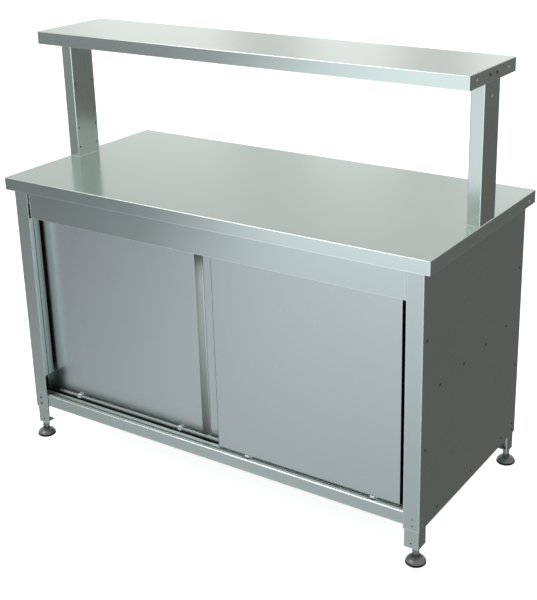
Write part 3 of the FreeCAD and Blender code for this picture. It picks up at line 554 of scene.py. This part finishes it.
def groove_lining(name, start, face, body):
    """Shallow trough: an arc over the groove's width, 8 mm deep, and the same arc 0.8 mm behind.

    Both arcs close to one profile, which is carried upright.
    """
    width, depth, sheet = 0.0326, 0.008, 0.0008
    radius = (width * width / 4 + depth * depth) / (2 * depth)
    reach = math.asin(width / 2 / radius)
    turn = np.linspace(-reach, reach, 33)
    centre = np.array((start + 0.0002 + width / 2, face + 0.0005 + depth - radius))
    near = centre + radius * np.stack([np.sin(turn), np.cos(turn)], axis=-1)
    back = centre + (radius + sheet) * np.stack([np.sin(turn[::-1]) * 0.96, np.cos(turn[::-1])], axis=-1)
    lining = carried(name, np.concatenate([near, back]), 2, (0.1662, 0.8168))
    lining.data.materials.append(groove_steel)
    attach(lining, body)
    lining.data.polygons.foreach_set("use_smooth", np.ones(len(lining.data.polygons), dtype=bool))


groove_lining("left_groove_lining", -0.056, -0.282, "left_door")

# ROLLER CAPS
# Twin-lobed caps moulded in white nylon that close the rollers' ends below the doors' edges.
# Those of the rear door reach over the wall of their track.


def twin_lobe(name, middle, half_length, half_depth, half_height, body):
    """Two round lobes in line: an ellipse whose size follows two half circles end to end.

    Between the lobes the size is held at a waist.
    """
    rings, ring_points, waist = 41, 24, 0.62
    along = np.sin(np.linspace(-np.pi / 2, np.pi / 2, rings))
    lobe = np.sqrt(np.clip(1 - (2 * np.abs(along) - 1) ** 2, 0, 1))
    size = np.where(np.abs(along) < 0.5, np.maximum(lobe, waist), lobe)[:, None]
    turn = np.linspace(0, 2 * np.pi, ring_points, endpoint=False)
    grid = np.stack([np.broadcast_to(middle[0] + half_length * along[:, None], (rings, ring_points)),
                     middle[1] + half_depth * size * np.cos(turn),
                     middle[2] + half_height * size * np.sin(turn)], axis=-1)
    first = np.arange(ring_points)
    following = np.roll(first, -1)
    rows = np.arange(rings - 1)[:, None] * ring_points
    walls = np.stack([rows + first, rows + following,
                      rows + ring_points + following, rows + ring_points + first], axis=-1)
    mesh = bpy.data.meshes.new(name)
    mesh.from_pydata(grid.reshape(-1, 3).tolist(), [], walls.reshape(-1, 4).tolist())
    shell = bmesh.new()
    shell.from_mesh(mesh)
    bmesh.ops.remove_doubles(shell, verts=shell.verts, dist=1e-6)
    bmesh.ops.recalc_face_normals(shell, faces=shell.faces)
    shell.to_mesh(mesh)
    shell.free()
    mesh.polygons.foreach_set("use_smooth", np.ones(len(mesh.polygons), dtype=bool))
    cap = bpy.data.objects.new(name, mesh)
    bpy.context.scene.collection.objects.link(cap)
    mesh.materials.append(nylon)
    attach(cap, body)


for letter, roller_x in (("a", 0.139), ("b", 0.571)):
    twin_lobe("right_roller_cap_" + letter, (roller_x, -0.3197, 0.1662), 0.0075, 0.0026, 0.0042, "right_door")
for letter, roller_x in (("a", -0.568), ("b", -0.142)):
    twin_lobe("left_roller_cap_" + letter, (roller_x, -0.2866, 0.1717), 0.0075, 0.0046, 0.0024, "left_door")
    twin_lobe("left_roller_toe_" + letter, (roller_x, -0.2911, 0.1634), 0.0070, 0.0022, 0.0026, "left_door")

# WORKTOP
# One 1.5 mm sheet folded down all round over a board, ground along its length.
# The board under it is bare particle board.
top_steel = ground_steel(
    "ground top steel", dark=(0.552, 0.627, 0.605), light=(0.600, 0.682, 0.658),
    stretch=lengthwise_grain, smooth=0.15, dull=0.22, relief=0.015)
# painted highlight along the worktop's folds, which are also smoother
paint_fold_highlight(top_steel, "worktop", band=0.0035, colour=(0.80, 0.86, 0.84), gloss=0.20)
dress(top_steel, "worktop")
board = bpy.data.materials.new("bare particle board")
board.use_nodes = True
board_tree = board.node_tree
board_shader = board_tree.nodes["Principled BSDF"]
board_shader.inputs["Roughness"].default_value = 0.85
board_place = board_tree.nodes.new("ShaderNodeTexCoord")
board_chips = board_tree.nodes.new("ShaderNodeTexVoronoi")
board_chips.inputs["Scale"].default_value = 320.0
board_tree.links.new(board_place.outputs["Object"], board_chips.inputs["Vector"])
board_tint = board_tree.nodes.new("ShaderNodeValToRGB")
board_tint.color_ramp.elements[0].color = (0.30, 0.20, 0.11, 1.0)
board_tint.color_ramp.elements[1].color = (0.58, 0.44, 0.29, 1.0)
board_tree.links.new(board_chips.outputs["Distance"], board_tint.inputs["Fac"])
board_tree.links.new(board_tint.outputs["Color"], board_shader.inputs["Base Color"])
dress(board, "worktop_core")

# POSTS
# Two closed tubes of folded stainless sheet with rows of holes in their inner faces, ground upright.
# A plate in each foot is bolted through the worktop.
for post in ("post_left", "post_right"):
    post_steel = ground_steel(
        "ground " + post, dark=(0.508, 0.577, 0.557), light=(0.548, 0.623, 0.601),
        stretch=upright_grain, smooth=0.23, dull=0.29, relief=0.015)
    # painted highlight along the post's folds, which are also smoother
    paint_fold_highlight(post_steel, post, band=0.003, colour=(0.80, 0.85, 0.83), gloss=0.26)
    dress(post_steel, post)

# OVERSHELF
# A narrower stainless tray of the worktop's make and finish, stiffened underneath.
# Screws and rivets through its ends hold it to the posts.
shelf_top_steel = ground_steel(
    "ground overshelf steel", dark=(0.566, 0.643, 0.620), light=(0.614, 0.698, 0.673),
    stretch=lengthwise_grain, smooth=0.16, dull=0.23, relief=0.02)
# painted highlight along the overshelf's folds, which are also smoother
paint_fold_highlight(shelf_top_steel, "overshelf", band=0.0035, colour=(0.80, 0.86, 0.84), gloss=0.20)
dress(shelf_top_steel, "overshelf")

# FASTENERS
# Blind rivets hold the panels and legs; their heads are dark, but for those of the right front leg.
# The overshelf's rivets and the bonding screw are bright, and its screws and the post bolts are blackened.
rivet_steel = ground_steel(
    "dark rivet steel", dark=(0.05, 0.05, 0.05), light=(0.11, 0.11, 0.11),
    stretch=(400, 400, 400), smooth=0.30, dull=0.45, relief=0.05)
recolour_or_paint_light(rivet_steel, (0.69, -far, -far), (far, -0.29, 0.30), crisp, (0.34, 0.38, 0.37))
dress(rivet_steel, "leg_rivets", "panel_rivets")
bright_rivet = ground_steel(
    "bright rivet steel", dark=(0.53, 0.60, 0.58), light=(0.65, 0.72, 0.70),
    stretch=(400, 400, 400), smooth=0.26, dull=0.40, relief=0.05)
dress(bright_rivet, "overshelf_rivets", "bonding_screw")
black_screw = ground_steel(
    "blackened screw steel", dark=(0.05, 0.05, 0.05), light=(0.10, 0.10, 0.10),
    stretch=(400, 400, 400), smooth=0.35, dull=0.5, relief=0.05)
dress(black_screw, "overshelf_screws", "post_bolts")

# STAGE
# A pale floor, just under the feet's lowest reach so that no pad sinks into it, and a soft key lamp.
# The camera sees white all round; what the steel mirrors is a studio that is light above and in front,
# graded along its back wall and dark in the right rear corner.
floor_mesh = bpy.data.meshes.new("floor")
floor_half = 30.0
floor_level = -0.031
floor_corners = [(x * floor_half, y * floor_half, floor_level) for x, y in ((-1, -1), (1, -1), (1, 1), (-1, 1))]
floor_mesh.from_pydata(floor_corners, [], [(0, 1, 2, 3)])
floor = bpy.data.objects.new("floor", floor_mesh)
bpy.context.scene.collection.objects.link(floor)
floor_paint = bpy.data.materials.new("pale floor")
floor_paint.use_nodes = True
floor_tree = floor_paint.node_tree
floor_shader = floor_tree.nodes["Principled BSDF"]
floor_shader.inputs["Base Color"].default_value = (0.80, 0.80, 0.80, 1.0)
floor_shader.inputs["Roughness"].default_value = 0.9
floor_path = floor_tree.nodes.new("ShaderNodeLightPath")
floor_shader.inputs["Emission Color"].default_value = (1.0, 1.0, 1.0, 1.0)
floor_lift = floor_tree.nodes.new("ShaderNodeMath")
floor_lift.operation = "MULTIPLY"
floor_lift.inputs[1].default_value = 0.75
floor_tree.links.new(floor_path.outputs["Is Camera Ray"], floor_lift.inputs[0])
floor_tree.links.new(floor_lift.outputs["Value"], floor_shader.inputs["Emission Strength"])
floor_mesh.materials.append(floor_paint)
floor.visible_glossy = False


def soft_box(tree, place, axis, edge, middle, dim, bright):
    """A soft patch of light in one direction: the cosine to its axis slides from dim to bright."""
    aim = tree.nodes.new("ShaderNodeVectorMath")
    aim.operation = "DOT_PRODUCT"
    aim.inputs[1].default_value = Vector(axis).normalized()
    tree.links.new(place.outputs["Generated"], aim.inputs[0])
    fade = tree.nodes.new("ShaderNodeMapRange")
    fade.interpolation_type = "SMOOTHSTEP"
    fade.inputs["From Min"].default_value = edge
    fade.inputs["From Max"].default_value = middle
    fade.inputs["To Min"].default_value = dim
    fade.inputs["To Max"].default_value = bright
    tree.links.new(aim.outputs["Value"], fade.inputs["Value"])
    return fade.outputs["Result"]


def combined(tree, how, first, second):
    """Two values added, multiplied or compared; the second may be a plain number."""
    step = tree.nodes.new("ShaderNodeMath")
    step.operation = how
    tree.links.new(first, step.inputs[0])
    if isinstance(second, float):
        step.inputs[1].default_value = second
    else:
        tree.links.new(second, step.inputs[1])
    return step.outputs["Value"]


def blended(tree, share, first, second):
    """Slides from the first value to the second with the share; either may be a plain number."""
    slide = tree.nodes.new("ShaderNodeMix")
    tree.links.new(share, slide.inputs["Factor"])
    for socket, value in zip((slide.inputs["A"], slide.inputs["B"]), (first, second)):
        if isinstance(value, float):
            socket.default_value = value
        else:
            tree.links.new(value, socket)
    return slide.outputs["Result"]


world = bpy.data.worlds.new("studio")
bpy.context.scene.world = world
world.use_nodes = True
sky = world.node_tree
backdrop = sky.nodes["Background"]
sky_place = sky.nodes.new("ShaderNodeTexCoord")
# in front: light to the right and dark to the left; below the table's edges both fade to the floor's grey
front = soft_box(sky, sky_place, (0.799, -0.602, -0.45), 0.067, 0.186, 0.20, 1.38)
above_floor = soft_box(sky, sky_place, (0, 0, 1), -0.60, -0.20, 0.0, 1.0)
# behind: grey, and darker in the right rear corner
behind = soft_box(sky, sky_place, (0, 1, 0), -0.05, 0.35, 0.0, 1.0)
dark_corner = soft_box(sky, sky_place, (0.48, 0.80, -0.36), 0.72, 0.93, 1.0, 0.36)
overhead = soft_box(sky, sky_place, (0, 0, 1), -0.26, 0.12, 0.0, 1.0)
# above: the back wall glows up to a level line, less at its left end, with two upright dark bars
backdrop_glow = soft_box(sky, sky_place, (0, -0.3155, 0.949), -0.024, 0.024, 0.38, 0.0)
left_end = math.radians(43)
left_fade = soft_box(sky, sky_place, (math.cos(left_end), math.sin(left_end), 0), -0.05, 0.03, 0.5, 1.0)
backdrop_glow = combined(sky, "MULTIPLY", backdrop_glow, left_fade)
for bar_turn in (34.5, 26.0):
    bar = math.radians(bar_turn)
    across_bar = (math.cos(bar), math.sin(bar), 0)
    left_side = soft_box(sky, sky_place, across_bar, -0.055, -0.01, 1.0, 0.0)
    right_side = soft_box(sky, sky_place, across_bar, 0.01, 0.055, 0.0, 1.0)
    lit = blended(sky, combined(sky, "ADD", left_side, right_side), 0.15, 1.0)
    backdrop_glow = combined(sky, "MULTIPLY", backdrop_glow, lit)
backdrop_glow = combined(sky, "ADD", backdrop_glow, 0.71)
around = blended(sky, above_floor, 0.53, front)
around = blended(sky, behind, around, 0.45)
glow = combined(sky, "MULTIPLY", blended(sky, overhead, around, backdrop_glow), dark_corner)
front_tint = sky.nodes.new("ShaderNodeMix")
front_tint.data_type = "RGBA"
front_tint.inputs["A"].default_value = (0.96, 1.0, 1.03, 1.0)
front_tint.inputs["B"].default_value = (1.0, 1.0, 0.965, 1.0)
sky.links.new(combined(sky, "MAXIMUM", behind, overhead), front_tint.inputs["Factor"])
sky_tint = sky.nodes.new("ShaderNodeMix")
sky_tint.data_type = "RGBA"
sky_tint.blend_type = "MULTIPLY"
sky_tint.inputs["Factor"].default_value = 1.0
sky.links.new(front_tint.outputs["Result"], sky_tint.inputs["A"])
sky.links.new(glow, sky_tint.inputs["B"])
# mirrored rays see the studio, the camera sees white, and soft light is plain grey
sky_path = sky.nodes.new("ShaderNodeLightPath")
sky_mirrored = combined(sky, "MAXIMUM", sky_path.outputs["Is Glossy Ray"],
                        sky_path.outputs["Is Transmission Ray"])
sky_level = sky.nodes.new("ShaderNodeMix")
sky_level.data_type = "RGBA"
sky_level.inputs["A"].default_value = (0.75, 0.75, 0.75, 1.0)
sky.links.new(sky_mirrored, sky_level.inputs["Factor"])
sky.links.new(sky_tint.outputs["Result"], sky_level.inputs["B"])
sky_seen = sky.nodes.new("ShaderNodeMix")
sky_seen.data_type = "RGBA"
sky.links.new(sky_path.outputs["Is Camera Ray"], sky_seen.inputs["Factor"])
sky.links.new(sky_level.outputs["Result"], sky_seen.inputs["A"])
sky_seen.inputs["B"].default_value = (1.0, 1.0, 1.0, 1.0)
sky.links.new(sky_seen.outputs["Result"], backdrop.inputs["Color"])

key = bpy.data.lights.new("key lamp", "AREA")
key.energy = 40.0
key.size = 2.0
key_lamp = bpy.data.objects.new("key lamp", key)
key_lamp.location = (-1.5, -2.2, 3.2)
key_lamp.rotation_euler = (Vector((0, 0, 0.6)) - key_lamp.location).to_track_quat("-Z", "Y").to_euler()
bpy.context.scene.collection.objects.link(key_lamp)

# CAMERA
# Set from the photograph's edges: above the right front corner, looking down a little.
# The frame is 537 by 600, so the long side carries the sensor's 36 mm.
camera_data = bpy.data.cameras.new("camera")
sensor, frame_pixels, focal_pixels = 36.0, 600.0, 1141.6
camera_data.sensor_width = sensor
camera_data.lens = focal_pixels * sensor / frame_pixels
camera_data.shift_x = -0.0525
camera_data.shift_y = -0.1
camera_data.clip_end = 100.0
camera = bpy.data.objects.new("camera", camera_data)
yaw, pitch, roll = -0.57628, -0.34398, -0.01802
ahead = Vector((math.sin(yaw) * math.cos(pitch), math.cos(yaw) * math.cos(pitch), math.sin(pitch)))
level = ahead.cross(Vector((0, 0, 1))).normalized()
right = level * math.cos(roll) + level.cross(ahead) * math.sin(roll)
up = right.cross(ahead)
turn = Matrix((right, up, -ahead)).transposed().to_4x4()
camera.matrix_world = Matrix.Translation((1.92855, -2.75863, 1.93703)) @ turn
bpy.context.scene.collection.objects.link(camera)
bpy.context.scene.camera = camera
bpy.context.scene.view_settings.view_transform = "Standard"
